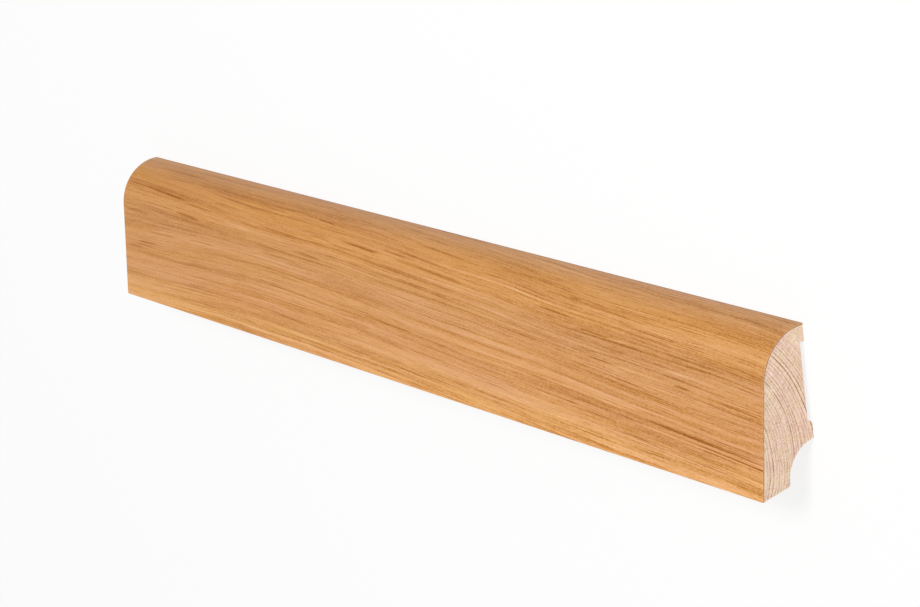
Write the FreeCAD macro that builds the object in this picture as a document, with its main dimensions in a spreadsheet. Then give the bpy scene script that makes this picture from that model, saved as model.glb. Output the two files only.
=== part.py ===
import FreeCAD, Part
import math
import os

import Sketcher

# Skirting board length: a planed softwood moulding with a real-wood veneer wrap.
#
# Frame, in millimetres: X runs along the length, Y from the foot (the edge that meets the floor of
# a room) up to the rounded nosing, and Z from the wall plane to the room side. The board lies on
# its back, so the wall plane is Z = 0. The origin is the middle of the board on that plane.

# Driving dimensions, in millimetres and degrees
SIZES = {
    # the whole board
    "board_length": 430.0,
    "board_height": 58.0,
    "foot_depth": 26.0,
    "front_lean": 7.5,
    "nosing_radius": 19.0,
    "veneer_thickness": 0.6,
    # the foot rises by this angle towards the heel, so that its front edge meets the floor first
    "foot_bevel": 8.0,
    # the recess in the back for the wall clips, between the top lip and the tooth
    "lip_height": 6.6,
    "clip_recess_depth": 2.0,
    "tooth_height": 6.0,
    "tooth_ramp": 30.0,
    # the cable channel behind the foot
    "channel_radius": 12.7,
    "channel_rise": 2.9,
    "foot_chamfer": 0.6,
}

# Names of a line's or an arc's points in a sketch, and of the sketch's own axis and origin
START = 1
END = 2
CENTRE = 3
AXIS = -1
ORIGIN = (AXIS, START)


def size_sheet(doc):
    """The spreadsheet that drives every sketch and feature."""
    sheet = doc.addObject("Spreadsheet::Sheet", "sizes")
    for row, (name, value) in enumerate(SIZES.items(), start=1):
        sheet.set("A%d" % row, name)
        sheet.set("B%d" % row, str(value))
        sheet.setAlias("B%d" % row, name)
    doc.recompute()
    return sheet


def new_body(doc, name):
    body = doc.addObject("PartDesign::Body", name)
    body.Label = name
    return body


def section_sketch(body, name):
    """An empty sketch of the cross-section: its x is the frame's Y and its y is the frame's Z."""
    sketch = body.newObject("Sketcher::SketchObject", name)
    plane = [part for part in body.Origin.OriginFeatures if part.Role == "YZ_Plane"][0]
    sketch.AttachmentSupport = [(plane, "")]
    sketch.MapMode = "FlatFace"
    return sketch


def line(sketch, start, end):
    return sketch.addGeometry(Part.LineSegment(FreeCAD.Vector(*start, 0), FreeCAD.Vector(*end, 0)))


def arc(sketch, centre, start, end):
    """A round stretch about centre, anticlockwise from start to end."""
    radius = math.dist(centre, start)
    circle = Part.Circle(FreeCAD.Vector(*centre, 0), FreeCAD.Vector(0, 0, 1), radius)
    first = math.atan2(start[1] - centre[1], start[0] - centre[0])
    last = math.atan2(end[1] - centre[1], end[0] - centre[0])
    return sketch.addGeometry(Part.ArcOfCircle(circle, first, last))


def hold(sketch, kind, *places):
    sketch.addConstraint(Sketcher.Constraint(kind, *places))


def join(sketch, first, second):
    hold(sketch, "Coincident", *first, *second)


def drive(sketch, name, formula, kind, *places):
    """A named dimension of the sketch, bound to the sheet."""
    index = sketch.addConstraint(Sketcher.Constraint(kind, *places))
    sketch.renameConstraint(index, name)
    sketch.setExpression("Constraints." + name, formula)


def extrude(body, kind, name, sketch):
    """Run a section along the whole board, half of it to each side of the middle."""
    feature = body.newObject(kind, name)
    feature.Profile = sketch
    feature.SideType = "Symmetric"
    return feature


def foot_height(z):
    """Height of the bevelled foot at a distance z from the wall plane."""
    rise = (SIZES["foot_depth"] - z) * math.tan(math.radians(SIZES["foot_bevel"]))
    return rise - SIZES["board_height"] / 2


def face_points(inset):
    """Foot corner, tangent point, centre and wall end of the front, an inset behind its face."""
    lean = math.radians(SIZES["front_lean"])
    bevel = math.radians(SIZES["foot_bevel"])
    half = SIZES["board_height"] / 2
    outer_radius = SIZES["nosing_radius"]
    centre_y = half - outer_radius
    centre_z = (SIZES["foot_depth"] - outer_radius / math.cos(lean)
                - (centre_y + half) * math.tan(lean))
    corner_z = SIZES["foot_depth"] - inset * math.cos(bevel) / math.cos(lean + bevel)
    radius = outer_radius - inset
    tangent = (centre_y + radius * math.sin(lean), centre_z + radius * math.cos(lean))
    wall_end = (centre_y + math.sqrt(radius ** 2 - centre_z ** 2), 0.0)
    return (foot_height(corner_z), corner_z), tangent, (centre_y, centre_z), wall_end


CORE_DEPTH = ("sizes.foot_depth - sizes.veneer_thickness * cos(sizes.foot_bevel * 1 deg)"
              " / cos((sizes.front_lean + sizes.foot_bevel) * 1 deg)")
CORE_RADIUS = "sizes.nosing_radius - sizes.veneer_thickness"
HALF_HEIGHT = "sizes.board_height / 2"
HEEL_PLACE = "sizes.board_height / 2 - sizes.foot_depth * tan(sizes.foot_bevel * 1 deg)"
NOSING_CENTRE = "sizes.board_height / 2 - sizes.nosing_radius"


def hold_bevel(sketch, foot):
    """Set a foot line, drawn from the wall side to the room side, to the angle of the bevel."""
    drive(sketch, "bevel", "90 + sizes.foot_bevel", "Angle", foot, math.radians(90 + SIZES["foot_bevel"]))


def blank_section(body):
    """Outline of the planed blank: bevelled foot, leaning front, round nosing and flat back."""
    sketch = section_sketch(body, "blank_section")
    corner, tangent, centre, wall_end = face_points(SIZES["veneer_thickness"])
    heel = (foot_height(0.0), 0.0)
    foot = line(sketch, heel, corner)
    front = line(sketch, corner, tangent)
    nosing = arc(sketch, centre, wall_end, tangent)
    back = line(sketch, wall_end, heel)
    join(sketch, (foot, END), (front, START))
    hold(sketch, "Tangent", front, END, nosing, END)
    join(sketch, (nosing, START), (back, START))
    join(sketch, (back, END), (foot, START))
    hold(sketch, "PointOnObject", back, START, AXIS)
    hold(sketch, "PointOnObject", back, END, AXIS)
    hold_bevel(sketch, foot)
    drive(sketch, "heel_place", HEEL_PLACE, "DistanceX", foot, START, *ORIGIN, -heel[0])
    drive(sketch, "core_depth", CORE_DEPTH, "DistanceY", foot, START, foot, END, corner[1])
    drive(sketch, "lean", "-sizes.front_lean", "Angle", front, -math.radians(SIZES["front_lean"]))
    drive(sketch, "core_radius", CORE_RADIUS, "Radius", nosing, math.dist(centre, wall_end))
    drive(sketch, "nosing_place", NOSING_CENTRE, "DistanceX", *ORIGIN, nosing, CENTRE, centre[0])
    return sketch


def clip_recess_section(body):
    """Shallow recess in the back: a square lip above it, and a ramped tooth below it."""
    sketch = section_sketch(body, "clip_recess_section")
    half = SIZES["board_height"] / 2
    depth = SIZES["clip_recess_depth"]
    lip = half - SIZES["lip_height"]
    tooth = SIZES["channel_rise"] + SIZES["channel_radius"] + SIZES["tooth_height"] - half
    ramp_foot = tooth + depth * math.tan(math.radians(SIZES["tooth_ramp"]))
    ramp = line(sketch, (tooth, 0.0), (ramp_foot, depth))
    floor = line(sketch, (ramp_foot, depth), (lip, depth))
    underside = line(sketch, (lip, depth), (lip, 0.0))
    mouth = line(sketch, (lip, 0.0), (tooth, 0.0))
    join(sketch, (ramp, END), (floor, START))
    join(sketch, (floor, END), (underside, START))
    join(sketch, (underside, END), (mouth, START))
    join(sketch, (mouth, END), (ramp, START))
    hold(sketch, "Horizontal", floor)
    hold(sketch, "Vertical", underside)
    hold(sketch, "PointOnObject", mouth, START, AXIS)
    hold(sketch, "PointOnObject", mouth, END, AXIS)
    drive(sketch, "lip_place", "sizes.board_height / 2 - sizes.lip_height",
          "DistanceX", *ORIGIN, mouth, START, lip)
    drive(sketch, "depth", "sizes.clip_recess_depth", "DistanceY", underside, END, underside, START, depth)
    drive(sketch, "tooth_place",
          "sizes.board_height / 2 - sizes.channel_rise - sizes.channel_radius - sizes.tooth_height",
          "DistanceX", mouth, END, *ORIGIN, -tooth)
    drive(sketch, "ramp", "90 - sizes.tooth_ramp", "Angle", ramp, math.radians(90 - SIZES["tooth_ramp"]))
    return sketch


def channel_section(body):
    """Cable channel: a quarter round about a line on the wall plane, with a straight heel below it."""
    sketch = section_sketch(body, "channel_section")
    half = SIZES["board_height"] / 2
    radius = SIZES["channel_radius"]
    centre = (SIZES["channel_rise"] - half, 0.0)
    top = (centre[0] + radius, 0.0)
    heel_top = (centre[0], radius)
    heel_foot = (-half, radius)
    corner = (-half, 0.0)
    cove = arc(sketch, centre, top, heel_top)
    heel = line(sketch, heel_top, heel_foot)
    floor_side = line(sketch, heel_foot, corner)
    wall_side = line(sketch, corner, top)
    join(sketch, (heel, END), (floor_side, START))
    join(sketch, (floor_side, END), (wall_side, START))
    join(sketch, (wall_side, END), (cove, START))
    hold(sketch, "Tangent", cove, END, heel, START)
    hold(sketch, "Horizontal", heel)
    hold(sketch, "Vertical", floor_side)
    hold(sketch, "PointOnObject", wall_side, START, AXIS)
    hold(sketch, "PointOnObject", cove, START, AXIS)
    hold(sketch, "PointOnObject", cove, CENTRE, AXIS)
    drive(sketch, "radius", "sizes.channel_radius", "Radius", cove, radius)
    drive(sketch, "rise", "sizes.channel_rise", "DistanceX", wall_side, START, cove, CENTRE, centre[0] + half)
    drive(sketch, "foot_place", HALF_HEIGHT, "DistanceX", wall_side, START, *ORIGIN, half)
    return sketch


def edge_along(shape, y, z):
    """Name of the edge that runs along the board at y, z."""
    for number, edge in enumerate(shape.Edges, start=1):
        if all(abs(end.Y - y) < 1e-6 and abs(end.Z - z) < 1e-6 for end in edge.Vertexes):
            return "Edge%d" % number
    raise RuntimeError("no edge along the board at y %.3f, z %.3f" % (y, z))


def softwood_core(doc):
    """The planed and grooved softwood moulding."""
    body = new_body(doc, "softwood_core")
    blank = extrude(body, "PartDesign::Pad", "blank", blank_section(body))
    blank.setExpression("Length", "sizes.board_length")
    clip_recess = extrude(body, "PartDesign::Pocket", "clip_recess", clip_recess_section(body))
    clip_recess.Type = "ThroughAll"
    channel = extrude(body, "PartDesign::Pocket", "cable_channel", channel_section(body))
    channel.Type = "ThroughAll"
    doc.recompute()
    chamfer = body.newObject("PartDesign::Chamfer", "foot_chamfer")
    heel_z = SIZES["channel_radius"]
    heel_edge = edge_along(channel.Shape, foot_height(heel_z), heel_z)
    chamfer.Base = (channel, [heel_edge])
    chamfer.setExpression("Size", "sizes.foot_chamfer")
    return body


def veneer_wrap(doc):
    """One sheet of veneer, wrapped over the front face and the nosing as far as the wall plane."""
    body = new_body(doc, "veneer_wrap")
    sketch = section_sketch(body, "veneer_section")
    thickness = SIZES["veneer_thickness"]
    corner, tangent, centre, wall_end = face_points(0.0)
    inner_corner, inner_tangent, inner_centre, inner_wall_end = face_points(thickness)
    front = line(sketch, corner, tangent)
    nosing = arc(sketch, centre, wall_end, tangent)
    wall_edge = line(sketch, wall_end, inner_wall_end)
    inner_nosing = arc(sketch, inner_centre, inner_wall_end, inner_tangent)
    inner_front = line(sketch, inner_tangent, inner_corner)
    foot_edge = line(sketch, inner_corner, corner)
    hold(sketch, "Tangent", front, END, nosing, END)
    join(sketch, (nosing, START), (wall_edge, START))
    join(sketch, (wall_edge, END), (inner_nosing, START))
    hold(sketch, "Tangent", inner_nosing, END, inner_front, START)
    join(sketch, (inner_front, END), (foot_edge, START))
    join(sketch, (foot_edge, END), (front, START))
    join(sketch, (nosing, CENTRE), (inner_nosing, CENTRE))
    hold(sketch, "Parallel", front, inner_front)
    hold(sketch, "PointOnObject", wall_edge, START, AXIS)
    hold(sketch, "PointOnObject", wall_edge, END, AXIS)
    hold_bevel(sketch, foot_edge)
    drive(sketch, "foot_place", HALF_HEIGHT, "DistanceX", front, START, *ORIGIN, -corner[0])
    drive(sketch, "foot_depth", "sizes.foot_depth", "DistanceY", *ORIGIN, front, START, corner[1])
    drive(sketch, "lean", "-sizes.front_lean", "Angle", front, -math.radians(SIZES["front_lean"]))
    drive(sketch, "radius", "sizes.nosing_radius", "Radius", nosing, SIZES["nosing_radius"])
    drive(sketch, "inner_radius", CORE_RADIUS, "Radius", inner_nosing, SIZES["nosing_radius"] - thickness)
    drive(sketch, "nosing_place", NOSING_CENTRE, "DistanceX", *ORIGIN, nosing, CENTRE, centre[0])
    sheet = extrude(body, "PartDesign::Pad", "veneer_sheet", sketch)
    sheet.setExpression("Length", "sizes.board_length")
    return body


def check(doc, pieces):
    """Stop if any feature failed or any piece isn't one sound solid."""
    for thing in doc.Objects:
        if "Invalid" in thing.State or "Error" in thing.State:
            raise RuntimeError("%s failed: %s" % (thing.Name, thing.State))
    for piece in pieces:
        shape = piece.Shape
        if shape.isNull() or not shape.isValid() or len(shape.Solids) != 1:
            raise RuntimeError("%s is not one valid solid" % piece.Label)


def main():
    doc = FreeCAD.newDocument("skirting_board")
    size_sheet(doc)
    pieces = [softwood_core(doc), veneer_wrap(doc)]
    doc.recompute()
    check(doc, pieces)
    os.makedirs("parts", exist_ok=True)
    for piece in pieces:
        piece.Shape.exportStep("parts/%s.step" % piece.Label)
        box = piece.Shape.BoundBox
        print("%-14s volume %9.1f  Y %.3f..%.3f  Z %.3f..%.3f" % (
            piece.Label, piece.Shape.Volume, box.YMin, box.YMax, box.ZMin, box.ZMax))


main()
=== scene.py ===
import math

import bpy
import numpy as np
from mathutils import Matrix, Vector, noise
from mathutils.geometry import delaunay_2d_cdt


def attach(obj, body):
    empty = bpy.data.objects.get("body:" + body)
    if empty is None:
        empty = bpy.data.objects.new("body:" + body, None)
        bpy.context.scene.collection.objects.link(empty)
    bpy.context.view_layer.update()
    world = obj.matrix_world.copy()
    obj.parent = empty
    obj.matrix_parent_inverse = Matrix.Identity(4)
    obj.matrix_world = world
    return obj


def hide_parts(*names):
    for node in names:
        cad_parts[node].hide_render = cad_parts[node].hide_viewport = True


# Skirting board length: a planed softwood moulding with a real-wood veneer wrap.
#
# X runs along the length, Y from the foot up to the rounded nosing, and Z from the wall plane to the
# room side. The board lies on its back on the floor, front face up. The section is worked out in
# millimetres, and the meshes, lights and camera are in metres.

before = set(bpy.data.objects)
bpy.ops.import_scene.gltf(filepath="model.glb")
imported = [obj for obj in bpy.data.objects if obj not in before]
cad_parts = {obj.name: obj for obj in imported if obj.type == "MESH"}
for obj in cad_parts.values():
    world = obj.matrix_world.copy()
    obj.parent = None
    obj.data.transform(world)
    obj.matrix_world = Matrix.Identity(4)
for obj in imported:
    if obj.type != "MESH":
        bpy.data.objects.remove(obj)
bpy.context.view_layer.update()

MM = 0.001

# Section of the board, in millimetres, as the CAD has it
LENGTH = 430.0
HALF_LENGTH = LENGTH / 2
HALF_HEIGHT = 29.0
FOOT_DEPTH = 26.0
LEAN = math.radians(7.5)
NOSING_RADIUS = 19.0
VENEER = 0.6
FOOT_BEVEL = math.radians(8.0)
LIP_EDGE = 22.4
RECESS_DEPTH = 2.0
TOOTH_TOP = -7.4
TOOTH_FOOT = -13.4
RAMP = math.radians(30.0)
CHANNEL_RADIUS = 12.7
CHANNEL_AXIS = -26.1
FOOT_CHAMFER = 0.6

CORE_RADIUS = NOSING_RADIUS - VENEER

# The nosing's centre, and the angles about it where the front and the wall plane meet its face
NOSING_Y = HALF_HEIGHT - NOSING_RADIUS
NOSING_Z = FOOT_DEPTH - NOSING_RADIUS / math.cos(LEAN) - (NOSING_Y + HALF_HEIGHT) * math.tan(LEAN)
NOSING_CENTRE = (NOSING_Y, NOSING_Z)
TANGENT_ANGLE = math.pi / 2 - LEAN
WALL_ANGLE = -math.asin(NOSING_Z / NOSING_RADIUS)


def foot_point(z):
    """The point of the bevelled foot at a distance z from the wall plane."""
    return ((FOOT_DEPTH - z) * math.tan(FOOT_BEVEL) - HALF_HEIGHT, z)


def on_round(centre, radius, angle):
    return (centre[0] + radius * math.cos(angle), centre[1] + radius * math.sin(angle))


# Widths of the veneer sheet, as it wraps round: of the front alone, and of all of it
FRONT_WIDTH = math.dist(foot_point(FOOT_DEPTH), on_round(NOSING_CENTRE, NOSING_RADIUS, TANGENT_ANGLE))
SHEET_WIDTH = FRONT_WIDTH + NOSING_RADIUS * (TANGENT_ANGLE - WALL_ANGLE)

# Corners of the softwood's foot: at the joint, and at both ends of the heel's chamfer
FOOT_CORNER = foot_point(FOOT_DEPTH - VENEER * math.cos(FOOT_BEVEL) / math.cos(LEAN + FOOT_BEVEL))
HEEL = foot_point(CHANNEL_RADIUS + FOOT_CHAMFER * math.cos(FOOT_BEVEL))
CHAMFER_TOP = (foot_point(CHANNEL_RADIUS)[0] + FOOT_CHAMFER, CHANNEL_RADIUS)

# The veneer's foot edge is cut in line with the foot, which its mesh eases into over this width
FOOT_EASE = 2.0
# The joint line starts this deep in the veneer
JOINT_DEPTH = 0.40

# The planed arrises of the back are broken by this much, and worn as far as the reach from them
EASED = 0.18
ARRIS_REACH = 2.5 * EASED
BACK_ARRISES = ((TOOTH_FOOT, 0.0), (TOOTH_TOP, 0.0), (LIP_EDGE, 0.0))

# Fine relief: a depth or an ease is how far a face lies in there, and a pitch is the size of the
# noise's waves, along the board and across it

# The arrises of the cut ends, and the veneer's arris at the foot
END_EASE_WIDTH = 0.3
VENEER_END_EASE = 0.13
CORE_END_EASE = 0.10
FOOT_ARRIS_WIDTH = 0.6
FOOT_ARRIS_EASE = 0.10

# The veneer's face is pressed a little unevenly
PRESS_DEPTH = 0.016
PRESS_PITCH = (55.0, 5.0)

# The softwood's back is planed a little unevenly, ragged close to its ends and chipped at its arrises
PLANING_DEPTH = 0.04
PLANING_PITCH = (9.0, 1.8)
RAGGED_DEPTH = 0.20
RAGGED_REACH = 0.8
RAGGED_PITCH = (1.3, 0.8)
CHIP_DEPTH = 0.30
CHIP_START = 0.28
CHIP_PITCH = (3.5, 5.0)

# How fine the meshes are: pitch of the stations along the board, their gaps from each cut end, steps
# across the veneer and across the softwood's foot, and pitch of the points inside an end face, which
# keep a clearance from its outline
STATION_PITCH = 2.0
END_GAPS = (0.0, 0.12, 0.3, 0.6, 1.0, 1.5, 2.1, 2.8, 3.6)
SHEET_STEPS = 104
FOOT_STEPS = 16
END_PITCH = 0.75
END_CLEARANCE = 0.45

# Faces that meet at more than this angle keep a crisp edge
SHARP_ANGLE = math.radians(28)


# Section points, as (y, z) in millimetres

def straight(start, end, count):
    """count points from start towards end, end left out."""
    return [
        (start[0] + (end[0] - start[0]) * i / count, start[1] + (end[1] - start[1]) * i / count)
        for i in range(count)
    ]


def round_stretch(centre, radius, first, last, count):
    """count points along an arc, its last point left out."""
    return [on_round(centre, radius, first + (last - first) * i / count) for i in range(count)]


def sheet_point(width, depth):
    """The point of the veneer at a width up from the foot, and a depth below its face."""
    if width > FRONT_WIDTH:
        angle = TANGENT_ANGLE - (width - FRONT_WIDTH) / NOSING_RADIUS
        y, z = on_round(NOSING_CENTRE, NOSING_RADIUS - depth, angle)
        return (y, max(0.0, z))
    width += depth * math.tan(LEAN + FOOT_BEVEL) * max(0.0, 1.0 - width / FOOT_EASE)
    y = -HALF_HEIGHT + width * math.cos(LEAN) - depth * math.sin(LEAN)
    z = FOOT_DEPTH - width * math.sin(LEAN) - depth * math.cos(LEAN)
    return (y, z)


def wall_end(radius):
    """Where a round of the nosing's centre meets the wall plane."""
    return (NOSING_Y + math.sqrt(radius ** 2 - NOSING_Z ** 2), 0.0)


def core_back():
    """The softwood's back, from the heel of the foot to the wall plane at the nosing."""
    cove_start = (CHANNEL_AXIS, CHANNEL_RADIUS)
    cove_end = EASED / CHANNEL_RADIUS
    ramp_start = (TOOTH_TOP + EASED * math.sin(RAMP), EASED)
    ramp_end = (TOOTH_TOP + RECESS_DEPTH * math.tan(RAMP), RECESS_DEPTH)
    recess_end = (LIP_EDGE, RECESS_DEPTH)
    points = straight(HEEL, CHAMFER_TOP, 2)
    points += straight(CHAMFER_TOP, cove_start, 1)
    points += round_stretch((CHANNEL_AXIS, 0.0), CHANNEL_RADIUS, math.pi / 2, cove_end, 32)
    points += round_stretch((TOOTH_FOOT + EASED, EASED), EASED, math.pi, 1.5 * math.pi, 3)
    points += straight((TOOTH_FOOT + EASED, 0.0), (TOOTH_TOP - EASED, 0.0), 12)
    points += straight((TOOTH_TOP - EASED, 0.0), ramp_start, 2)
    points += straight(ramp_start, ramp_end, 4)
    points += straight(ramp_end, recess_end, 40)
    points += straight(recess_end, (LIP_EDGE, EASED), 4)
    points += round_stretch((LIP_EDGE + EASED, EASED), EASED, math.pi, 1.5 * math.pi, 3)
    points += straight((LIP_EDGE + EASED, 0.0), wall_end(CORE_RADIUS), 10)
    return points


def core_front():
    """The softwood's front, from the wall plane over the nosing to the foot, and the foot face."""
    start_angle = -math.asin(NOSING_Z / CORE_RADIUS)
    tangent = on_round(NOSING_CENTRE, CORE_RADIUS, TANGENT_ANGLE)
    points = [wall_end(CORE_RADIUS)]
    points += round_stretch(NOSING_CENTRE, CORE_RADIUS, start_angle, TANGENT_ANGLE, 36)[1:]
    points += straight(tangent, FOOT_CORNER, 42)
    points += straight(FOOT_CORNER, HEEL, FOOT_STEPS)
    return points


def edges_of(outline):
    """Starts and ends of the outline's edges, as two arrays."""
    starts = np.array(outline)
    return starts, np.roll(starts, -1, axis=0)


def is_inside(point, starts, ends):
    """Whether a point lies in the outline, by the edges that a line from it crosses."""
    above = (starts[:, 1] > point[1]) != (ends[:, 1] > point[1])
    rise = np.where(above, ends[:, 1] - starts[:, 1], 1.0)
    cross = starts[:, 0] + (point[1] - starts[:, 1]) * (ends[:, 0] - starts[:, 0]) / rise
    return np.count_nonzero(above & (cross > point[0])) % 2 == 1


def distance_to(point, starts, ends):
    """Distance from a point to the nearest edge of the outline."""
    along = ends - starts
    way = point - starts
    share = np.clip((way * along).sum(1) / (along * along).sum(1), 0.0, 1.0)
    return np.linalg.norm(way - along * share[:, None], axis=1).min()


def inner_points(outline):
    """An even scatter of points well inside the outline, which the triangles of an end face use."""
    starts, ends = edges_of(outline)
    low = starts.min(0)
    high = starts.max(0)
    points = []
    for row, z in enumerate(np.arange(low[1], high[1], END_PITCH * math.sqrt(3) / 2)):
        for y in np.arange(low[0] + END_PITCH / 2 * (row % 2), high[0], END_PITCH):
            point = np.array((y, z))
            if is_inside(point, starts, ends) and distance_to(point, starts, ends) > END_CLEARANCE:
                points.append((y, z))
    return points


def end_triangles(points, outline_count, lines):
    """Triangles of an end face: the outline is the first points, and lines are edges they keep."""
    edges = [(i, (i + 1) % outline_count) for i in range(outline_count)] + lines
    # Output type 1 has only the triangles inside the outline
    result = delaunay_2d_cdt([Vector(p) for p in points], edges, [], 1, 1e-7)
    source = [given[0] for given in result[3]]
    triangles = []
    for face in result[2]:
        a, b, c = (source[i] for i in face)
        turn = ((points[b][0] - points[a][0]) * (points[c][1] - points[a][1])
                - (points[b][1] - points[a][1]) * (points[c][0] - points[a][0]))
        triangles.append((a, b, c) if turn > 0 else (a, c, b))
    return triangles


def stations():
    """Places along the board, closer together near its two cut ends."""
    near = [HALF_LENGTH - d for d in END_GAPS]
    count = round(2 * near[-1] / STATION_PITCH)
    middle = [-near[-1] + 2 * near[-1] * i / count for i in range(1, count)]
    return [-x for x in near] + middle + near[::-1]


STATIONS = stations()


# Meshes

def loft(name, outline, inner, lines, shape_point):
    """A closed bar: the outline run along the board, with inner points only in the two end faces.

    The outline runs anticlockwise as seen from +X. shape_point(x, place) gives the final point of
    a section point, in millimetres. The faces come as sides first, station by station, and then
    the two ends. corners lists (station, place) for each face corner.
    """
    section = list(outline) + list(inner)
    count = len(outline)
    last = len(STATIONS) - 1
    points = [shape_point(x, place) for x in STATIONS for place in range(count)]
    for x in (STATIONS[0], STATIONS[last]):
        points += [shape_point(x, place) for place in range(count, len(section))]

    def index(station, place):
        if place < count:
            return station * count + place
        return len(STATIONS) * count + (place - count) + (len(inner) if station else 0)

    corners = []
    for station in range(last):
        beyond = station + 1
        for place in range(count):
            after = (place + 1) % count
            corners.append(((station, place), (station, after), (beyond, after), (beyond, place)))
    side_count = len(corners)
    triangles = end_triangles(section, count, lines)
    corners += [tuple((0, place) for place in reversed(three)) for three in triangles]
    corners += [tuple((last, place) for place in three) for three in triangles]
    mesh = bpy.data.meshes.new(name)
    faces = [tuple(index(*corner) for corner in face) for face in corners]
    mesh.from_pydata([(x * MM, y * MM, z * MM) for x, y, z in points], [], faces)
    mesh.update()
    return mesh, corners, side_count


def add_map(mesh, name, places):
    """A UV map from one (u, v) for each face corner, in the order of the faces."""
    layer = mesh.uv_layers.new(name=name)
    layer.uv.foreach_set("vector", np.array(places, np.float32).ravel())


# The bake map is a square from 0 to 1, with a margin. Each side of a piece lies on a strip across it,
# given as (start, height), and so does each end of the veneer.
BAKE_MARGIN = 0.003
BAKE_WIDTH = 1.0 - 2 * BAKE_MARGIN

VENEER_FACE_STRIP = (BAKE_MARGIN, 0.85)
VENEER_GLUED_STRIP = (0.87, 0.03)
VENEER_FOOT_STRIP = (0.91, 0.015)
VENEER_WALL_STRIP = (0.93, 0.015)
VENEER_NEAR_END_STRIP = (0.955, 0.015)
VENEER_FAR_END_STRIP = (0.98, 0.015)

CORE_BACK_STRIP = (0.28, 0.56)
CORE_FRONT_STRIP = (0.845, 0.02)
CORE_FOOT_STRIP = (0.87, 0.12)

# The softwood's two ends lie side by side below its strips
CORE_NEAR_END_LEFT = 0.503
CORE_END_WIDTH = 0.494
CORE_END_HEIGHT = 0.26


def share_along(station):
    """Where a station lies along the bake map's strips."""
    return BAKE_MARGIN + BAKE_WIDTH * (STATIONS[station] + HALF_LENGTH) / LENGTH


def on_strip(strip, share):
    """Where a share, from 0 to 1, of what a strip shows lies on the bake map."""
    start, height = strip
    return start + height * share


def core_end_place(station, y, z):
    """Where a point of the softwood's sawn ends lies on the bake map."""
    left = CORE_NEAR_END_LEFT if station else BAKE_MARGIN
    along = left + CORE_END_WIDTH * (y + HALF_HEIGHT) / (2 * HALF_HEIGHT)
    return (along, BAKE_MARGIN + CORE_END_HEIGHT * z / FOOT_DEPTH)


def add_piece(mesh, materials, indices, node):
    piece = bpy.data.objects.new(mesh.name, mesh)
    bpy.context.scene.collection.objects.link(piece)
    for material in materials:
        mesh.materials.append(material)
    mesh.polygons.foreach_set("material_index", indices)
    mesh.polygons.foreach_set("use_smooth", [True] * len(mesh.polygons))
    mesh.set_sharp_from_angle(angle=SHARP_ANGLE)
    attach(piece, "root")
    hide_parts(node)
    return piece


def wander(x, y, z, pitch, seed):
    """Smooth noise from -1 to 1 with its own pitch along the board and across it."""
    along, across = pitch
    return noise.noise(Vector((x / along + seed, y / across - seed, z / across + 0.5 * seed)))


def end_ease(x):
    """From 0 along the board to 1 at its cut ends, over the width of the eased arris."""
    return max(0.0, 1.0 - (HALF_LENGTH - abs(x)) / END_EASE_WIDTH) ** 2


def veneer_section():
    """The veneer's section points as (width, depth): those of its outline, and then of its joint line.

    Also gives how many points the outline has, and all the places on the joint line in order.
    """
    widths = [SHEET_WIDTH * i / SHEET_STEPS for i in range(SHEET_STEPS + 1)]
    glued_side = [(width, VENEER) for width in widths]
    face_side = [(width, 0.0) for width in reversed(widths)]
    outline = glued_side + [(SHEET_WIDTH, JOINT_DEPTH)] + face_side + [(0.0, JOINT_DEPTH)]
    joint = [(width, JOINT_DEPTH) for width in widths[1:-1]]
    spots = outline + joint
    wall_joint = len(glued_side)
    foot_joint = len(outline) - 1
    return spots, len(outline), [foot_joint, *range(len(outline), len(spots)), wall_joint]


# The veneer's materials, by their places in its list
FACE = 0
# The cut edge's material carries a painted highlight
CUT_EDGE_HIGHLIGHT = 1
JOINT = 2


def veneer_piece(materials):
    """The veneer: its face follows the pressed sheet, with the arrises of its cut ends eased."""
    spots, count, joint_row = veneer_section()

    def shape_point(x, place):
        width, depth = spots[place]
        sink = depth
        if depth == 0.0:
            pressed = PRESS_DEPTH * (1.0 + wander(x, width, 0.0, PRESS_PITCH, 3.0))
            sink = pressed * (1.0 - end_ease(x)) + VENEER_END_EASE * end_ease(x)
            sink += FOOT_ARRIS_EASE * max(0.0, 1.0 - width / FOOT_ARRIS_WIDTH)
        return (x, *sheet_point(width, sink))

    flat = [sheet_point(width, depth) for width, depth in spots]
    joint_line = list(zip(joint_row[:-1], joint_row[1:]))
    mesh, corners, side_count = loft(
        "veneer_sheet", flat[:count], flat[count:], joint_line, shape_point)

    glued = {place for place, (_, depth) in enumerate(spots) if depth >= JOINT_DEPTH}
    indices = []
    bake_places = []
    sheet_places = []
    for number, face in enumerate(corners):
        is_end = number >= side_count
        depths = [spots[place][1] for _, place in face]
        first_station, first_place = face[0]
        if is_end:
            kind = JOINT if all(place in glued for _, place in face) else CUT_EDGE_HIGHLIGHT
            strip = VENEER_NEAR_END_STRIP if first_station else VENEER_FAR_END_STRIP
        elif max(depths) == 0.0:
            kind = FACE
            strip = VENEER_FACE_STRIP
        elif min(depths) == VENEER:
            kind = JOINT
            strip = VENEER_GLUED_STRIP
        else:
            kind = JOINT if min(depths) > 0.0 else CUT_EDGE_HIGHLIGHT
            strip = VENEER_WALL_STRIP if spots[first_place][0] else VENEER_FOOT_STRIP
        indices.append(kind)
        by_width = strip in (VENEER_FACE_STRIP, VENEER_GLUED_STRIP)
        for station, place in face:
            width, depth = spots[place]
            up = width / SHEET_WIDTH
            along = BAKE_MARGIN + BAKE_WIDTH * up if is_end else share_along(station)
            bake_places.append((along, on_strip(strip, up if by_width else depth / VENEER)))
            sheet_places.append((STATIONS[station] * MM, width * MM))
    add_map(mesh, "sheet", sheet_places)
    add_map(mesh, "OFBake", bake_places)
    return add_piece(mesh, materials, indices, "veneer_wrap")


def edge_lengths(outline):
    """Length of the outline's edge after each of its points."""
    starts, ends = edges_of(outline)
    return np.linalg.norm(ends - starts, axis=1)


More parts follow.
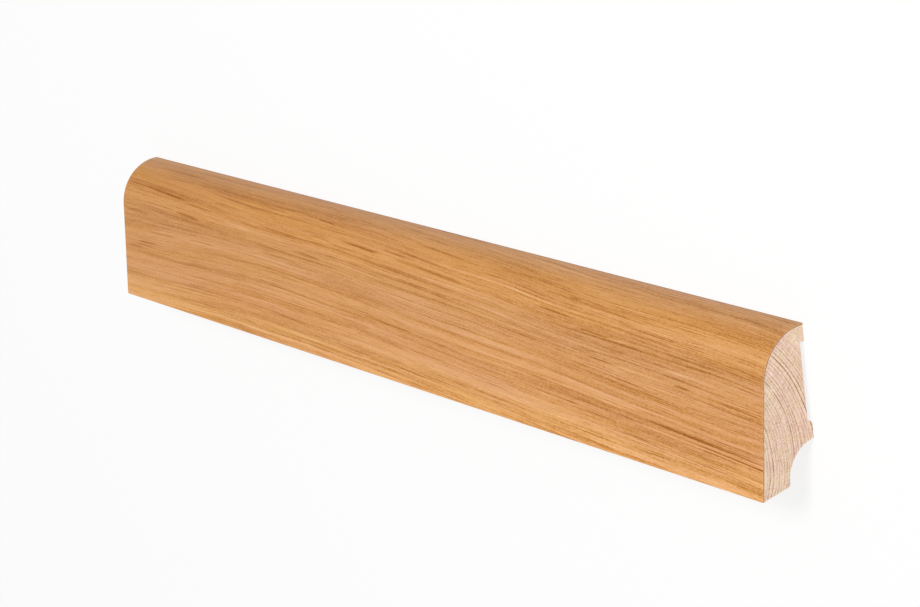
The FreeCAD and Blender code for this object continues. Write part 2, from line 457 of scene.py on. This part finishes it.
def into_wood(outline, reach):
    """Direction into the wood at each outline point, taken over a reach to each side of it."""
    points = np.array(outline)
    steps = edge_lengths(outline)
    count = len(points)
    found = []
    for place in range(count):
        after, way = place, 0.0
        while way < reach:
            way += steps[after % count]
            after += 1
        before, way = place, 0.0
        while way < reach:
            before -= 1
            way += steps[before % count]
        along = points[after % count] - points[before % count]
        along = along / np.linalg.norm(along)
        found.append((-along[1], along[0]))
    return found


def core_piece(materials):
    """The softwood moulding: planed along its length and sawn at its two ends."""
    back = core_back()
    outline = back + core_front()
    section = outline + inner_points(outline)
    inward = into_wood(outline, ARRIS_REACH)
    arris_places = {
        place for place, point in enumerate(back)
        if min(math.dist(point, arris) for arris in BACK_ARRISES) < ARRIS_REACH
    }

    def shape_point(x, place):
        y, z = section[place]
        if not 0 < place < len(back):
            return (x, y, z)
        gap = HALF_LENGTH - abs(x)
        sink = PLANING_DEPTH * wander(x, y, z, PLANING_PITCH, 11.0) + CORE_END_EASE * end_ease(x)
        sink += RAGGED_DEPTH * math.exp(-gap / RAGGED_REACH) * wander(x, y, z, RAGGED_PITCH, 7.0)
        if place in arris_places:
            sink += CHIP_DEPTH * max(0.0, wander(x, y, z, CHIP_PITCH, 23.0) - CHIP_START)
        y += inward[place][0] * sink
        z += inward[place][1] * sink
        return (x, max(y, -HALF_HEIGHT), max(z, 0.0))

    mesh, corners, side_count = loft(
        "softwood_moulding", outline, section[len(outline):], [], shape_point)

    # The way round the outline to each of its points, in three stretches that each have a strip
    count = len(outline)
    girth = np.concatenate(([0.0], np.cumsum(edge_lengths(outline))))
    stretches = (
        (CORE_BACK_STRIP, 0, len(back)),
        (CORE_FRONT_STRIP, len(back), count - FOOT_STEPS),
        (CORE_FOOT_STRIP, count - FOOT_STEPS, count),
    )
    bake_places = []
    for number, face in enumerate(corners):
        if number >= side_count:
            bake_places += [core_end_place(station, *section[place]) for station, place in face]
            continue
        start = face[0][1]
        strip, first, last = next(stretch for stretch in stretches if start < stretch[2])
        for station, place in face:
            way = girth[count if place < start else place]
            share = (way - girth[first]) / (girth[last] - girth[first])
            bake_places.append((share_along(station), on_strip(strip, share)))
    add_map(mesh, "OFBake", bake_places)
    indices = [int(number >= side_count) for number in range(len(corners))]
    return add_piece(mesh, materials, indices, "softwood_core")


# Materials

def colour(red, green, blue):
    """A colour written as it shows on screen, 0 to 255, as the linear values that nodes take."""
    def linear(value):
        value = value / 255
        return value / 12.92 if value <= 0.04045 else ((value + 0.055) / 1.055) ** 2.4
    return linear(red), linear(green), linear(blue), 1.0


class Graph:
    """Short calls for building one material's node tree."""

    def __init__(self, name):
        self.material = bpy.data.materials.new(name)
        self.material.use_nodes = True
        self.tree = self.material.node_tree
        self.shader = self.tree.nodes["Principled BSDF"]

    def put(self, socket, value):
        if isinstance(value, bpy.types.NodeSocket):
            self.tree.links.new(value, socket)
        else:
            socket.default_value = value

    def node(self, kind, **settings):
        made = self.tree.nodes.new(kind)
        for key, value in settings.items():
            setattr(made, key, value)
        return made

    def math(self, operation, a, b=0.0, c=0.0, clamp=False):
        made = self.node("ShaderNodeMath", operation=operation, use_clamp=clamp)
        for socket, value in zip(made.inputs, (a, b, c)):
            self.put(socket, value)
        return made.outputs[0]

    def vector(self, operation, a, b=(0, 0, 0), c=(0, 0, 0)):
        made = self.node("ShaderNodeVectorMath", operation=operation)
        for socket, value in zip(made.inputs, (a, b, c)):
            self.put(socket, value)
        return made.outputs["Value" if operation == "LENGTH" else "Vector"]

    def split(self, vector):
        made = self.node("ShaderNodeSeparateXYZ")
        self.put(made.inputs[0], vector)
        return made.outputs

    def join(self, x, y, z=0.0):
        made = self.node("ShaderNodeCombineXYZ")
        for socket, value in zip(made.inputs, (x, y, z)):
            self.put(socket, value)
        return made.outputs[0]

    def noise(self, vector, scale=1.0, detail=1.0, roughness=0.5):
        """Noise whose value is mostly 0.3 to 0.7, with 0.5 in the middle."""
        made = self.node("ShaderNodeTexNoise")
        self.put(made.inputs["Vector"], vector)
        made.inputs["Scale"].default_value = scale
        made.inputs["Detail"].default_value = detail
        made.inputs["Roughness"].default_value = roughness
        return made.outputs["Fac"]

    def span(self, value, low, high, to_low=0.0, to_high=1.0, smooth=True):
        """value's stretch from low to high, mapped to to_low and to_high and held there outside it."""
        made = self.node("ShaderNodeMapRange", interpolation_type="SMOOTHSTEP" if smooth else "LINEAR")
        sockets = ("Value", "From Min", "From Max", "To Min", "To Max")
        for key, number in zip(sockets, (value, low, high, to_low, to_high)):
            self.put(made.inputs[key], number)
        return made.outputs[0]

    def off_middle(self, part, weight, base):
        """base, plus weight times how far a noise is off its middle value."""
        return self.math("MULTIPLY_ADD", self.math("SUBTRACT", part, 0.5), weight, base)

    def mix(self, share, a, b, mode="MIX"):
        made = self.node("ShaderNodeMix", data_type="RGBA", blend_type=mode)
        first, second = (socket for socket in made.inputs if socket.type == "RGBA")
        self.put(made.inputs["Factor"], share)
        self.put(first, a)
        self.put(second, b)
        return next(socket for socket in made.outputs if socket.type == "RGBA")

    def ramp(self, value, stops):
        made = self.node("ShaderNodeValToRGB")
        self.put(made.inputs[0], value)
        line = made.color_ramp.elements
        line[0].position, line[0].color = stops[0]
        line[1].position, line[1].color = stops[-1]
        for place, shade in stops[1:-1]:
            line.new(place).color = shade
        return made.outputs[0]

    def bump(self, height, distance, strength):
        """A normal that follows a height, which is taken times a distance in metres."""
        made = self.node("ShaderNodeBump")
        made.inputs["Strength"].default_value = strength
        made.inputs["Distance"].default_value = distance
        self.put(made.inputs["Height"], height)
        return made.outputs[0]

    def finish(self, base, roughness, normal, specular):
        self.put(self.shader.inputs["Base Color"], base)
        self.put(self.shader.inputs["Roughness"], roughness)
        self.put(self.shader.inputs["Normal"], normal)
        self.shader.inputs["Specular IOR Level"].default_value = specular
        return self.material


# Single streaks of the veneer: place along the board, width up from the foot, half length,
# half width (all mm) and depth of colour, which is below 0 for a light streak
STREAKS = (
    (-203.0, 52.4, 13.0, 0.45, 0.45),
    (-179.0, 51.3, 19.0, 0.50, 0.90),
    (-180.0, 63.5, 22.0, 0.60, 0.50),
    (-152.0, 49.2, 12.0, 0.50, 0.45),
    (-136.0, 46.3, 9.0, 0.40, 0.40),
    (-128.0, 45.0, 22.0, 0.35, -0.45),
    (-160.0, 44.2, 10.0, 0.55, 0.75),
    (-155.0, 41.9, 10.0, 0.50, 0.35),
    (-148.0, 34.0, 11.0, 0.45, 0.70),
    (-112.0, 34.9, 30.0, 0.40, 0.45),
    (-95.0, 35.2, 20.0, 0.40, -0.50),
    (-86.0, 37.6, 14.0, 0.40, 0.45),
    (-203.0, 40.2, 10.0, 0.50, 0.45),
    (-180.0, 32.4, 12.0, 0.45, 0.45),
    (-130.0, 52.8, 13.0, 0.50, 0.50),
    (-90.0, 48.4, 17.0, 0.40, 0.55),
    (-154.0, 13.8, 9.0, 0.70, 0.45),
    (-141.0, 6.4, 9.0, 0.40, 0.50),
    (-195.0, 26.8, 9.0, 0.45, 0.75),
    (-197.0, 25.3, 9.0, 0.40, 0.50),
    (-206.0, 23.8, 8.0, 0.50, 0.45),
    (-95.0, 57.4, 8.0, 0.40, 0.55),
    (-92.0, 56.2, 8.0, 0.40, -0.40),
    (-59.0, 57.8, 7.0, 0.40, 0.70),
    (-57.0, 50.3, 10.0, 0.45, 0.75),
    (-57.0, 49.4, 7.0, 0.40, -0.50),
    (-29.0, 51.0, 14.0, 0.50, 0.90),
    (-6.0, 52.2, 11.0, 0.45, 0.85),
    (-10.0, 50.2, 9.0, 0.40, -0.60),
    (-66.0, 41.9, 11.0, 0.45, 0.90),
    (-108.0, 20.6, 18.0, 0.50, 0.40),
    (-8.0, 23.0, 19.0, 0.50, 0.60),
    (-8.0, 21.4, 11.0, 0.35, -0.45),
    (-31.0, 19.2, 11.0, 0.50, 0.50),
    (-8.0, 15.2, 17.0, 0.35, 0.45),
    (15.0, 14.2, 14.0, 0.60, -0.35),
    (20.0, 58.2, 18.0, 0.50, 0.65),
    (20.0, 49.2, 24.0, 0.60, 0.40),
    (62.0, 11.8, 10.0, 0.35, 0.50),
    (52.0, 7.6, 20.0, 0.40, 0.40),
    (82.0, 57.6, 14.0, 0.50, 0.50),
    (108.0, 53.9, 4.0, 0.40, 0.60),
    (120.0, 52.6, 32.0, 0.45, 0.60),
    (100.0, 47.1, 13.0, 0.45, 0.95),
    (122.0, 43.4, 10.0, 0.40, 0.65),
    (190.0, 50.0, 14.0, 0.40, -0.55),
    (162.0, 43.3, 54.0, 0.50, 0.35),
    (188.0, 41.2, 30.0, 0.55, 0.35),
    (180.0, 36.7, 17.0, 0.70, -0.50),
    (129.0, 33.8, 10.0, 0.40, 0.90),
    (142.0, 33.1, 22.0, 0.35, -0.50),
    (172.5, 32.4, 5.0, 0.45, 1.00),
    (198.0, 30.7, 18.0, 0.45, 0.75),
    (102.0, 19.6, 30.0, 0.70, 0.55),
    (130.0, 20.1, 18.0, 0.35, -0.45),
    (165.0, 16.2, 54.0, 0.75, 0.42),
    (193.0, 14.7, 26.0, 0.60, 0.30),
    (172.0, 17.4, 28.0, 0.30, -0.40),
    (170.0, 13.4, 24.0, 0.35, -0.50),
    (193.0, 11.7, 12.0, 0.35, 0.75),
    (127.0, 12.9, 10.0, 0.35, 0.55),
    (148.0, 9.2, 10.0, 0.40, 0.45),
    (204.0, 64.8, 12.0, 0.60, 0.60),
)

# The grain isn't quite in line with the board: it waves at the far end and falls at the near one.
# The fall of a grain line is a polynomial of the place along the board, in metres.
GRAIN_FALL = (0.048, 0.1, -1.0, 0.0, 12.0)

# Towards the far end the grain lines spread apart, a little down and more up from one line, and
# close up again at the sheet's edges: by a share of the width that is a sine across the sheet
SPREAD_START = -0.10
SPREAD_END = -0.23
SPREAD_MIDDLE = 0.033
SPREAD_WAVE = 0.072
SPREAD = 0.12


def grain_line(along, width):
    """How far up the sheet a grain line lies where it crosses the middle of the board, in metres."""
    share = min(1.0, max(0.0, (along - SPREAD_START) / (SPREAD_END - SPREAD_START)))
    share = share * share * (3.0 - 2.0 * share)
    turn = 2 * math.pi * (width - SPREAD_MIDDLE) / SPREAD_WAVE
    line = width * (1.0 - SPREAD * share * math.sin(turn))
    for power, factor in enumerate(GRAIN_FALL, start=1):
        line += factor * along ** power
    return line


# The grain lines waver a little: waves of the noise per metre, and how far it moves a line (mm)
WAVES_ALONG = 12.0
WAVES_ACROSS = 50.0
WAVER = 3.6


def calm_grain(g, along, width):
    """The grain line of a point of the sheet, as grain_line gives it."""
    fall = 0.0
    for factor in reversed(GRAIN_FALL):
        fall = g.math("MULTIPLY", g.math("ADD", fall, factor), along)
    spread = g.span(along, SPREAD_START, SPREAD_END, 0.0, -SPREAD)
    turn = g.math("MULTIPLY", g.math("SUBTRACT", width, SPREAD_MIDDLE), 2 * math.pi / SPREAD_WAVE)
    spread = g.math("MULTIPLY_ADD", g.math("SINE", turn), spread, 1.0)
    return g.math("MULTIPLY_ADD", width, spread, fall)


def single_streaks(g, along, line):
    """How dark the single streaks are at a point of a grain line."""
    point = g.join(along, line)
    streaks = 0.0
    for x, up, half_length, half_width, depth in STREAKS:
        middle = grain_line(x * MM, up * MM)
        place = g.vector(
            "MULTIPLY_ADD", point,
            (1 / (half_length * MM), 1 / (half_width * MM), 0),
            (-x / half_length, -middle / (half_width * MM), 0))
        away = g.vector("LENGTH", g.vector("MULTIPLY", place, place))
        within = g.math("MULTIPLY_ADD", away, -1.3, 1.3, clamp=True)
        streaks = g.math("MULTIPLY_ADD", within, depth, streaks)
    return streaks


def veneer_material():
    """Lacquered veneer: golden to pinkish brown, with long fine grain, pores and darker streaks, and
    painted shade and sheen across its width.
    """
    g = Graph("lacquered_veneer")
    sheet = g.node("ShaderNodeUVMap", uv_map="sheet").outputs[0]
    along, width, _ = g.split(sheet)
    calm = calm_grain(g, along, width)
    waves = g.join(g.math("MULTIPLY", along, WAVES_ALONG), g.math("MULTIPLY", calm, WAVES_ACROSS))
    line = g.off_middle(g.noise(waves), WAVER * MM, calm)

    def layer(pitch, stretch, seed):
        """Noise with features pitch millimetres wide and stretch times as long."""
        across = g.math("MULTIPLY_ADD", line, 1 / (pitch * MM), seed)
        length = g.math("MULTIPLY_ADD", along, 1 / (pitch * MM * stretch), seed * 0.37)
        return g.noise(g.join(length, across, seed))

    broad = layer(9.0, 14.0, 3.1)
    bands = layer(3.2, 50.0, 17.3)
    medium = layer(1.5, 90.0, 52.6)
    fibres = layer(0.75, 150.0, 41.7)
    fine = layer(0.38, 200.0, 63.9)
    hairs = layer(0.2, 110.0, 71.3)
    grit = layer(0.5, 3.0, 33.8)
    flecks = layer(0.55, 16.0, 21.7)
    pores = layer(0.24, 12.0, 87.1)
    strong = layer(2.4, 9.0, 95.4)
    stronger = layer(1.7, 12.0, 12.9)

    # The streaks are broken by the fine grain
    broken = g.span(fine, 0.34, 0.62, 0.55, 1.2, smooth=False)
    streaks = g.math("MULTIPLY", single_streaks(g, along, calm), broken)
    pore_marks = g.math("MULTIPLY", g.span(pores, 0.60, 0.74), g.span(strong, 0.42, 0.62, 0.25, 1.0))

    # Tone from 0, dark, to 1, light: the crisp grain shows more towards the near end
    coarse = 0.5
    for part, weight in ((broad, 0.34), (bands, 0.30), (medium, 0.28)):
        coarse = g.off_middle(part, weight, coarse)
    crisp = g.math("MULTIPLY", pore_marks, -0.12)
    for part, fade, weight in ((fibres, strong, 0.46), (fine, stronger, 0.54), (hairs, strong, 0.28)):
        seen = g.span(fade, 0.32, 0.68, 0.35 * weight, 1.65 * weight)
        crisp = g.off_middle(part, seen, crisp)
    crisp = g.off_middle(grit, 0.38, crisp)
    crisp = g.off_middle(flecks, 0.30, crisp)
    tone = g.math("MULTIPLY_ADD", crisp, g.math("MULTIPLY_ADD", along, 1.1, 1.03), coarse)
    tone = g.math("MULTIPLY_ADD", streaks, -0.36, tone)
    wood = g.ramp(tone, (
        (0.0, colour(159, 90, 15)),
        (0.25, colour(195, 129, 60)),
        (0.5, colour(228, 167, 106)),
        (0.72, colour(242, 184, 129)),
        (1.0, colour(254, 203, 153))))

    # The far end is a little more golden
    by_length = g.mix(g.span(along, -0.2, 0.2), colour(252, 249, 240), colour(255, 255, 255))
    wood = g.mix(1.0, wood, by_length, "MULTIPLY")

    # The darker bands are more golden and the lighter ones pinker
    hue = g.off_middle(coarse, 0.8, layer(6.0, 12.0, 29.2))
    hue = g.off_middle(layer(1.8, 40.0, 44.4), 0.9, hue)
    golden = g.mix(g.span(hue, 0.32, 0.68), colour(255, 252, 238), colour(255, 253, 255))
    wood = g.mix(1.0, wood, golden, "MULTIPLY")

    # Painted shade and sheen across the width, partly the veneer's own tone: the front and the nosing
    # are painted darker than the foot, the nosing gets a greyish-pink painted sheen, and the edge on the
    # wall plane gets a painted dark shade line
    by_width = g.ramp(g.math("DIVIDE", width, SHEET_WIDTH * MM), (
        (0.0, colour(254, 255, 255)),
        (0.06, colour(250, 255, 255)),
        (0.19, colour(236, 232, 234)),
        (0.31, colour(236, 233, 233)),
        (0.56, colour(230, 227, 226)),
        (0.69, colour(228, 225, 212)),
        (0.81, colour(216, 209, 182)),
        (0.94, colour(208, 206, 201)),
        (0.99, colour(205, 201, 199)),
        # A painted dark shade line along the edge on the wall plane
        (1.0, colour(168, 164, 164))))
    wood = g.mix(1.0, wood, by_width, "MULTIPLY")

    relief = g.math("MULTIPLY_ADD", pore_marks, -0.7, g.math("MULTIPLY", fine, 0.5))
    relief = g.math("MULTIPLY_ADD", fibres, 0.6, relief)
    normal = g.bump(relief, 0.06 * MM, 0.6)
    roughness = g.span(fibres, 0.3, 0.7, 0.40, 0.52, smooth=False)
    g.shader.inputs["Coat Weight"].default_value = 0.06
    g.shader.inputs["Coat Roughness"].default_value = 0.32
    return g.finish(wood, roughness, normal, specular=0.18)


def cut_veneer_highlight_material():
    """The sawn edge of the veneer, its colour painted a little lighter than its face as a painted
    highlight along the cut arris.
    """
    g = Graph("cut_veneer_painted_highlight")
    place = g.node("ShaderNodeTexCoord").outputs["Object"]
    specks = g.noise(place, scale=2600.0, detail=2.0)
    # Lighter than the veneer's face: a painted highlight on the sawn edge
    wood = g.ramp(specks, (
        (0.30, colour(190, 140, 98)),
        (0.55, colour(224, 175, 131)),
        (0.75, colour(238, 194, 152))))
    return g.finish(wood, 0.7, g.bump(specks, 0.08 * MM, 0.5), specular=0.3)


def joint_line_material():
    """The thin dark line of glue and pressed fibres between the veneer and the softwood."""
    g = Graph("joint_line")
    place = g.node("ShaderNodeTexCoord").outputs["Object"]
    specks = g.noise(place, scale=1100.0, detail=2.0)
    line = g.ramp(specks, (
        (0.30, colour(74, 44, 28)),
        (0.50, colour(104, 66, 44)),
        (0.68, colour(162, 114, 80))))
    return g.finish(line, 0.75, g.bump(specks, 0.08 * MM, 0.5), specular=0.3)


# The growth rings run round a line on the room side of the board. They wobble, and they drift off
# with the distance from the near end, by a share of it.
PITH_Y = -14.25
PITH_Z = 53.43
RING_WOBBLE = 0.6
RING_DRIFT = 0.014

# The way round the pith is measured at this radius
TURN_RADIUS = 45.0

# Late wood lines: radius from the pith (mm) and depth of colour
RINGS = (
    (31.0, 0.35),
    (32.2, 0.55),
    (33.75, 0.75),
    (35.25, 0.30),
    (36.4, 0.32),
    (37.6, 0.28),
    (38.85, 0.42),
    (40.1, 0.32),
    (41.1, 0.36),
    (43.0, 0.30),
    (43.8, 0.85),
    (44.9, 0.40),
    (45.7, 0.50),
    (46.8, 0.50),
    (48.3, 0.25),
    (49.6, 0.48),
    (50.7, 0.42),
    (52.25, 1.05),
    (53.6, 0.68),
    (54.8, 0.22),
    (55.7, 0.45),
    (56.8, 0.28),
    (57.9, 0.26),
    (59.0, 0.18),
    (60.4, 0.16),
)


def ring_place(g, place):
    """Distance of a point from the pith, as the bent rings have it, and the way round it (both mm)."""
    x, y, z = g.split(place)
    dy = g.math("MULTIPLY_ADD", y, 1 / MM, -PITH_Y)
    dz = g.math("MULTIPLY_ADD", z, 1 / MM, -PITH_Z)
    angle = g.math("ARCTAN2", dy, g.math("MULTIPLY", dz, -1.0))
    radius = g.vector("LENGTH", g.join(dy, dz))

    # The rings flatten towards the foot, the inner ones below the pith and the outer ones beside it
    below = g.span(angle, -0.30, 0.05, -0.7, 0.0)
    below = g.math("MULTIPLY", below, g.span(radius, 41.0, 43.5, 1.0, 0.0))
    beside = g.span(angle, 0.0, 0.35, -1.15, 0.0)
    beside = g.math("MULTIPLY", beside, g.span(radius, 44.5, 50.0))
    radius = g.math("ADD", g.math("ADD", below, beside), radius)

    wobble = g.noise(g.vector("MULTIPLY", place, (9.0, 60.0, 60.0)))
    radius = g.off_middle(wobble, RING_WOBBLE, radius)
    drift = g.noise(place, scale=5.0, detail=0.0)
    away = g.math("SUBTRACT", HALF_LENGTH * MM, x)
    radius = g.off_middle(drift, g.math("MULTIPLY", away, RING_DRIFT / MM), radius)
    return radius, g.math("MULTIPLY", angle, TURN_RADIUS)


def ring_tones(g, radius):
    """How dark the rings are at a distance from the pith, and how light the wood beside them is.

    Each darkens slowly from its inner side and ends sharply, and is light 0.55 mm to each side.
    """
    dark = 0.0
    light = 0.0
    for ring_radius, depth in RINGS:
        off = g.math("SUBTRACT", radius, ring_radius)
        inner = g.span(off, -0.65, 0.0, 0.0, 0.25 * depth)
        peak = g.span(off, -0.27, -0.03, 0.0, 0.75 * depth)
        outer = g.span(off, 0.03, 0.24, 1.0, 0.0)
        dark = g.math("MAXIMUM", g.math("MULTIPLY", g.math("ADD", inner, peak), outer), dark)
        gap = g.math("ABSOLUTE", g.math("SUBTRACT", g.math("ABSOLUTE", off), 0.55))
        light = g.math("MAXIMUM", g.span(gap, 0.0, 0.3, depth, 0.0), light)
    return dark, light


def softwood_end_material():
    """Sawn end grain: pale, with broken growth rings, rays, light flecks and slanting saw marks."""
    g = Graph("sawn_softwood")
    place = g.node("ShaderNodeTexCoord").outputs["Object"]
    radius, turn = ring_place(g, place)
    dark, light = ring_tones(g, radius)
    x, y, z = g.split(place)

    def in_rings(across, along, seed, detail=1.0):
        """Noise in line with the rings, its features across millimetres wide and along ones long."""
        rows = g.math("MULTIPLY_ADD", radius, 1 / across, seed)
        return g.noise(g.join(rows, g.math("DIVIDE", turn, along), x), detail=detail)

    blotch = g.noise(place, scale=190.0, detail=2.0)
    fibres = g.noise(place, scale=1300.0, detail=2.0, roughness=0.6)
    grit = g.noise(place, scale=3600.0)
    layers = in_rings(0.42, 8.0, 3.0)
    rays = in_rings(3.5, 0.30, 8.0)
    sawn = g.math("ADD", g.math("MULTIPLY", y, 0.9), g.math("MULTIPLY", z, 1.5))
    marks = g.noise(g.join(g.math("MULTIPLY", sawn, 1300.0), g.math("MULTIPLY", y, 150.0)))

    # Tone from 0, dark, to 1, light: the late wood lines are broken along their way
    broken = g.span(in_rings(2.0, 6.0, 5.0, detail=2.0), 0.38, 0.60, 0.70, 1.10, smooth=False)
    tone = g.math("MULTIPLY_ADD", g.math("MULTIPLY", dark, broken), -0.66, 0.68)
    tone = g.math("MULTIPLY_ADD", light, 0.10, tone)
    parts = (
        (blotch, 0.14),
        (fibres, 0.62),
        (grit, 0.85),
        (layers, 0.45),
        (rays, 0.30),
        (marks, 0.42),
    )
    for part, weight in parts:
        tone = g.off_middle(part, weight, tone)
    wood = g.ramp(tone, (
        (0.0, colour(156, 106, 80)),
        (0.3, colour(197, 154, 128)),
        (0.6, colour(231, 200, 178)),
        (0.85, colour(247, 225, 206)),
        (1.0, colour(254, 239, 223))))
    hue = g.noise(place, scale=300.0, detail=2.0)
    tint = g.mix(g.span(hue, 0.36, 0.64), colour(255, 250, 251), colour(254, 254, 243))
    wood = g.mix(1.0, wood, tint, "MULTIPLY")
    relief = g.math("MULTIPLY_ADD", dark, 0.5, g.math("MULTIPLY", fibres, 0.8))
    relief = g.math("MULTIPLY_ADD", marks, 0.5, relief)
    normal = g.bump(relief, 0.16 * MM, 0.7)
    return g.finish(wood, g.span(fibres, 0.3, 0.7, 0.72, 0.88), normal, specular=0.25)


# Distance between the marks of the planer's knives (mm)
KNIFE_PITCH = 2.1


def softwood_side_material():
    """Planed softwood: the same rings seen along the grain, with fibres and light planer marks."""
    g = Graph("planed_softwood")
    place = g.node("ShaderNodeTexCoord").outputs["Object"]
    radius, _ = ring_place(g, place)
    dark, _ = ring_tones(g, radius)
    long_fibres = g.noise(g.vector("MULTIPLY", place, (45.0, 1700.0, 1700.0)), detail=3.0, roughness=0.6)
    blotch = g.noise(g.vector("MULTIPLY", place, (10.0, 110.0, 110.0)), detail=2.0)
    x = g.split(place)["X"]
    bend = g.math("MULTIPLY", blotch, 5.0)
    knife = g.math("SINE", g.math("MULTIPLY_ADD", x, 2 * math.pi / (KNIFE_PITCH * MM), bend))
    tone = g.math("MULTIPLY_ADD", dark, -0.45, 0.66)
    tone = g.off_middle(long_fibres, 0.55, tone)
    tone = g.off_middle(blotch, 0.35, tone)
    wood = g.ramp(tone, (
        (0.0, colour(176, 128, 92)),
        (0.3, colour(206, 164, 128)),
        (0.6, colour(232, 200, 166)),
        (0.85, colour(243, 219, 190)),
        (1.0, colour(247, 228, 203))))
    relief = g.math("MULTIPLY_ADD", dark, 0.3, g.math("MULTIPLY", long_fibres, 0.8))
    relief = g.math("MULTIPLY_ADD", knife, 0.12, relief)
    normal = g.bump(relief, 0.10 * MM, 0.6)
    return g.finish(wood, g.span(long_fibres, 0.3, 0.7, 0.55, 0.7), normal, specular=0.35)


# How much of the floor's look is plain white. The rest takes light and shadow.
FLOOR_PLAIN = 0.82


def rays_that_see(tree):
    """1 for the rays that show a background: from the camera, from a gloss and through glass."""
    rays = tree.nodes.new("ShaderNodeLightPath")
    seen = rays.outputs["Is Camera Ray"]
    for kind in ("Is Glossy Ray", "Is Transmission Ray"):
        either = tree.nodes.new("ShaderNodeMath")
        either.operation = "MAXIMUM"
        tree.links.new(seen, either.inputs[0])
        tree.links.new(rays.outputs[kind], either.inputs[1])
        seen = either.outputs[0]
    return seen


def floor_material():
    """Plain pale floor: white where it is seen directly or in a gloss, with the shadow kept faint."""
    g = Graph("plain_floor")
    g.shader.inputs["Base Color"].default_value = (0.95, 0.95, 0.95, 1.0)
    g.shader.inputs["Roughness"].default_value = 0.9
    g.shader.inputs["Specular IOR Level"].default_value = 0.1
    white = g.node("ShaderNodeEmission")
    white.inputs["Strength"].default_value = 1.0
    share = g.math("MULTIPLY", rays_that_see(g.tree), FLOOR_PLAIN)
    both = g.node("ShaderNodeMixShader")
    g.put(both.inputs[0], share)
    g.tree.links.new(g.shader.outputs[0], both.inputs[1])
    g.tree.links.new(white.outputs[0], both.inputs[2])
    g.tree.links.new(both.outputs[0], g.tree.nodes["Material Output"].inputs["Surface"])
    return g.material


# Stage, lights and camera

# The floor's half width (m), and how far it lies below the board so that the two don't meet (mm)
FLOOR_HALF = 4.0
FLOOR_DROP = 0.05


def add_floor():
    half = FLOOR_HALF
    corners = [(-half, -half, 0), (half, -half, 0), (half, half, 0), (-half, half, 0)]
    mesh = bpy.data.meshes.new("floor")
    mesh.from_pydata(corners, [], [(0, 1, 2, 3)])
    floor = bpy.data.objects.new("floor", mesh)
    floor.location.z = -FLOOR_DROP * MM
    mesh.materials.append(floor_material())
    bpy.context.scene.collection.objects.link(floor)


# The key light hangs over the near end and the nosing's side, so that a faint shadow shows
# below the foot. Its places and size are in metres, and its power in watts.
SKY_STRENGTH = 0.45
KEY_PLACE = Vector((1.02, 1.31, 2.19))
KEY_AIM = Vector((0.0, 0.0, 0.012))
KEY_SIZE = 0.85
KEY_POWER = 52.0


def add_key_light():
    light = bpy.data.lights.new("key_light", "AREA")
    light.shape = "SQUARE"
    light.size = KEY_SIZE
    light.energy = KEY_POWER
    lamp = bpy.data.objects.new("key_light", light)
    lamp.location = KEY_PLACE
    lamp.rotation_mode = "QUATERNION"
    lamp.rotation_quaternion = (KEY_AIM - KEY_PLACE).to_track_quat("-Z", "Y")
    bpy.context.scene.collection.objects.link(lamp)


def add_sky():
    """An even pale sky, which shows as plain white."""
    world = bpy.data.worlds.new("studio")
    bpy.context.scene.world = world
    world.use_nodes = True
    tree = world.node_tree
    sky = tree.nodes["Background"]
    sky.inputs["Color"].default_value = (1.0, 1.0, 1.0, 1.0)
    sky.inputs["Strength"].default_value = SKY_STRENGTH
    white = tree.nodes.new("ShaderNodeBackground")
    white.inputs["Strength"].default_value = 1.0
    both = tree.nodes.new("ShaderNodeMixShader")
    tree.links.new(rays_that_see(tree), both.inputs[0])
    tree.links.new(sky.outputs[0], both.inputs[1])
    tree.links.new(white.outputs[0], both.inputs[2])
    tree.links.new(both.outputs[0], tree.nodes["World Output"].inputs["Surface"])


# The board's height stands up in the photograph, so the camera is turned on its side. Its places are
# in metres, and its lens and sensor in millimetres.
CAMERA_PLACE = Vector((0.9552, 0.3613, 0.6469))
CAMERA_AIM = Vector((0.0301, 0.0064, 0.0130))
CAMERA_UP = Vector((-0.1704, 0.9447, -0.2803))
CAMERA_LENS = 117.9
CAMERA_SENSOR = 36.0


def add_camera():
    data = bpy.data.cameras.new("camera")
    data.sensor_width = CAMERA_SENSOR
    data.lens = CAMERA_LENS
    data.clip_start = 0.05
    data.clip_end = 20.0
    forward = (CAMERA_AIM - CAMERA_PLACE).normalized()
    right = forward.cross(CAMERA_UP).normalized()
    up = right.cross(forward)
    camera = bpy.data.objects.new("camera", data)
    turn = Matrix((right, up, -forward)).transposed()
    camera.matrix_world = Matrix.Translation(CAMERA_PLACE) @ turn.to_4x4()
    bpy.context.scene.collection.objects.link(camera)
    bpy.context.scene.camera = camera


veneer_piece([veneer_material(), cut_veneer_highlight_material(), joint_line_material()])
core_piece([softwood_side_material(), softwood_end_material()])
add_floor()
add_sky()
add_key_light()
add_camera()
bpy.context.scene.view_settings.view_transform = "Standard"
